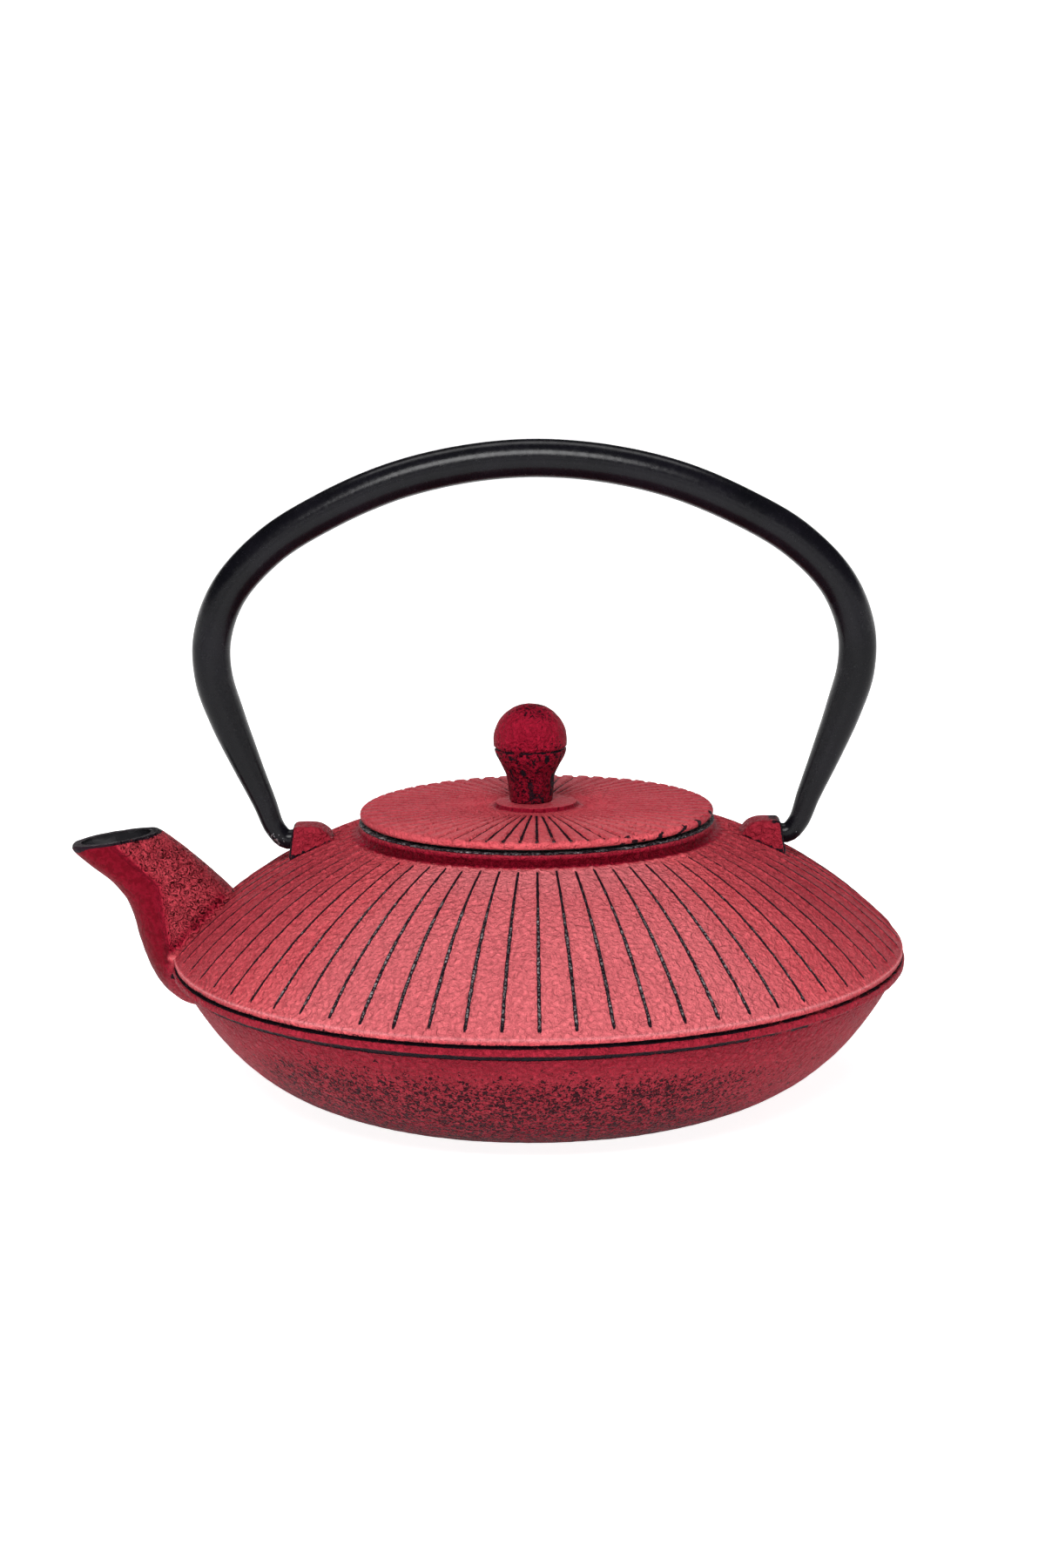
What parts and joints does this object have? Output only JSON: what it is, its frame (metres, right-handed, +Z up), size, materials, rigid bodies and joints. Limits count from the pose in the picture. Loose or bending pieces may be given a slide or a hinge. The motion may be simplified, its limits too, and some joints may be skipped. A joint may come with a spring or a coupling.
{
  "type": "cast-iron teapot with bail handle",
  "caption": "Low, wide cast-iron teapot with a ribbed red shoulder, short spout, folding bail handle, lift-off knobbed lid and lift-out mesh infuser.",
  "frame": {"origin": "centre of the flat base that the pot stands on", "axes": "+Z up, spout towards -X, handle pivot axis along X"},
  "size_m": [0.221, 0.195, 0.173],
  "materials": {
    "red_iron": "matt red paint over black on a rough casting, worn off the ribs and edges",
    "dark_red_iron": "darker red paint, speckled black",
    "black_paint": "satin black",
    "stainless": "pressed and woven stainless steel",
    "zinc_plate": "zinc-plated steel"
  },
  "bodies": {
    "pot": {"pot_body": "red_iron"},
    "handle": {"handle_bail": "black_paint"},
    "infuser": {"infuser_rim": "stainless", "infuser_wall": "stainless", "infuser_band": "stainless", "infuser_base": "stainless"},
    "lid": {"lid_plate": "red_iron", "lid_knob": "dark_red_iron", "knob_screw": "zinc_plate", "knob_washer": "zinc_plate"}
  },
  "joints": [
    {"name": "handle_fold", "type": "hinge", "parent": "pot", "child": "handle", "pos_m": [0, 0, 0.068], "axis": [1, 0, 0], "range_deg": [-102, 102]},
    {"name": "infuser_lift", "type": "slide", "parent": "pot", "child": "infuser", "axis": [0, 0, 1], "range_m": [0, 0.055]},
    {"name": "lid_lift", "type": "slide", "parent": "infuser", "child": "lid", "axis": [0, 0, 1], "range_m": [0, 0.055]}
  ]
}
